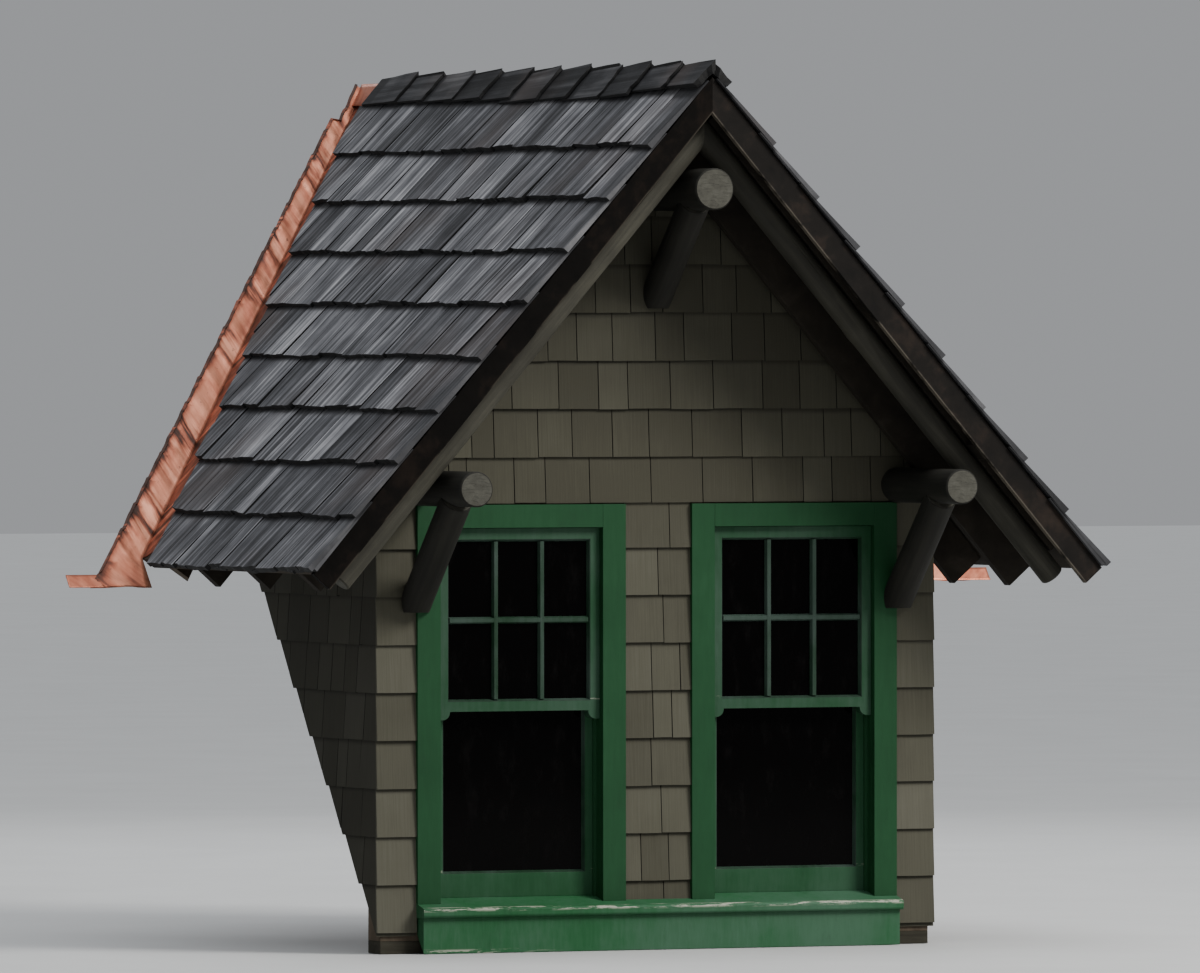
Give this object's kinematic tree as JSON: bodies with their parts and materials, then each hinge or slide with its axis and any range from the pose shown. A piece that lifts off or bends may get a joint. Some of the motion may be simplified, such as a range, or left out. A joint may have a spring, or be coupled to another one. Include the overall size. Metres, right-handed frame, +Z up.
{
  "type": "dormer window",
  "caption": "Gabled dormer with paired double-hung windows, log outriggers and braces, shingled walls and roof, and copper valleys to a pitched main roof.",
  "frame": {"origin": "middle of the level underside of the front sole plate", "axes": "+X to the right seen from the front, +Y back into the main roof, +Z up"},
  "size_m": [3.64, 3.3317, 3.1907],
  "materials": {
    "framing": "sawn softwood, dusty",
    "wall_shingle": "weathered shingle with an olive-grey stain, matt",
    "green_trim": "green paint, worn on the edges",
    "green_sash": "green paint, worn on the edges",
    "pane": "clear, dark behind",
    "deck_plank": "brown stained planks, matt",
    "rafter_wood": "brown stained softwood, matt",
    "barge_wood": "dark brown stain, matt",
    "log": "peeled log with an olive-brown stain, matt",
    "copper": "sheet copper, streaked",
    "roof_shingle": "silver-grey weathered cedar, rough"
  },
  "bodies": {
    "root": {"front_sole_plate": "framing", "front_wall": "framing", "left_valley_sleeper": "framing", "right_valley_sleeper": "framing", "left_sole_plate": "framing", "right_sole_plate": "framing", "left_cheek_wall": "framing", "right_cheek_wall": "framing", "eave_blocking": "framing", "front_cladding": "wall_shingle", "left_cheek_cladding": "wall_shingle", "right_cheek_cladding": "wall_shingle", "window_sill": "green_trim", "sill_apron": "green_trim", "head_casings": "green_trim", "side_casings": "green_trim", "left_window_frame": "green_trim", "right_window_frame": "green_trim", "left_upper_sash": "green_sash", "right_upper_sash": "green_sash", "left_lower_sash": "green_sash", "right_lower_sash": "green_sash", "left_window_glass": "pane", "right_window_glass": "pane", "left_roof_deck": "deck_plank", "right_roof_deck": "deck_plank", "left_rafters": "rafter_wood", "right_rafters": "rafter_wood", "verge_packing": "rafter_wood", "left_barge_board": "barge_wood", "right_barge_board": "barge_wood", "left_verge_log": "log", "right_verge_log": "log", "ridge_log": "log", "left_eave_log": "log", "right_eave_log": "log", "ridge_brace": "log", "left_eave_brace": "log", "right_eave_brace": "log", "left_valley_flashing": "copper", "right_valley_flashing": "copper", "left_roof_shingles": "roof_shingle", "right_roof_shingles": "roof_shingle", "ridge_cap": "roof_shingle"}
  },
  "joints": []
}
